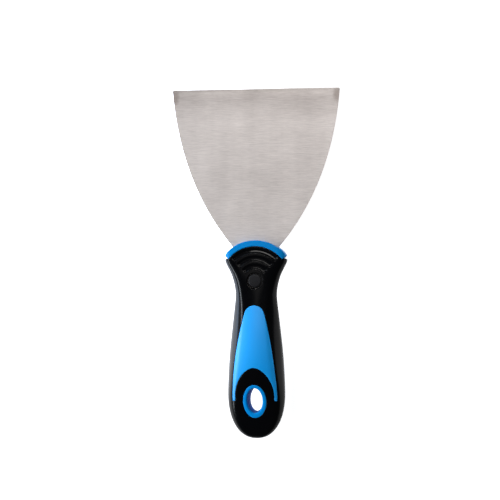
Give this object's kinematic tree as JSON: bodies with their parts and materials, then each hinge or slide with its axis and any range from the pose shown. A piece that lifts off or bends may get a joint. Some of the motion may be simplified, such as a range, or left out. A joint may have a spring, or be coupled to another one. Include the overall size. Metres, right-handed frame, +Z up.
{
  "type": "taping knife",
  "caption": "Flared stainless blade held between two hard plastic core halves under a soft glossy skin, with a collar, arc thumb grooves, a textured inlay and a lined hang hole.",
  "frame": {"origin": "on the bench under the middle of the knife: centre of the footprint, at the height of the surface that it lies on", "axes": "+Y from the butt of the handle to the cutting edge, +Z up, away from the bench and through the front face, +X across the blade"},
  "size_m": [0.1, 0.2062, 0.0249],
  "materials": {
    "blade_steel": "fine brushing across the width",
    "core_plastic": "fine spark-eroded texture on the inlay, satin on the collar and ring",
    "grip_skin": "glossy soft skin",
    "rivet_steel": "zinc plated",
    "cap_plastic": "satin black"
  },
  "bodies": {
    "root": {"blade": "blade_steel", "core_front": "core_plastic", "core_back": "core_plastic", "grip_front": "grip_skin", "grip_back": "grip_skin", "rivet_barrel": "rivet_steel", "rivet_pin": "rivet_steel", "cap_front": "cap_plastic", "cap_back": "cap_plastic"}
  },
  "joints": []
}
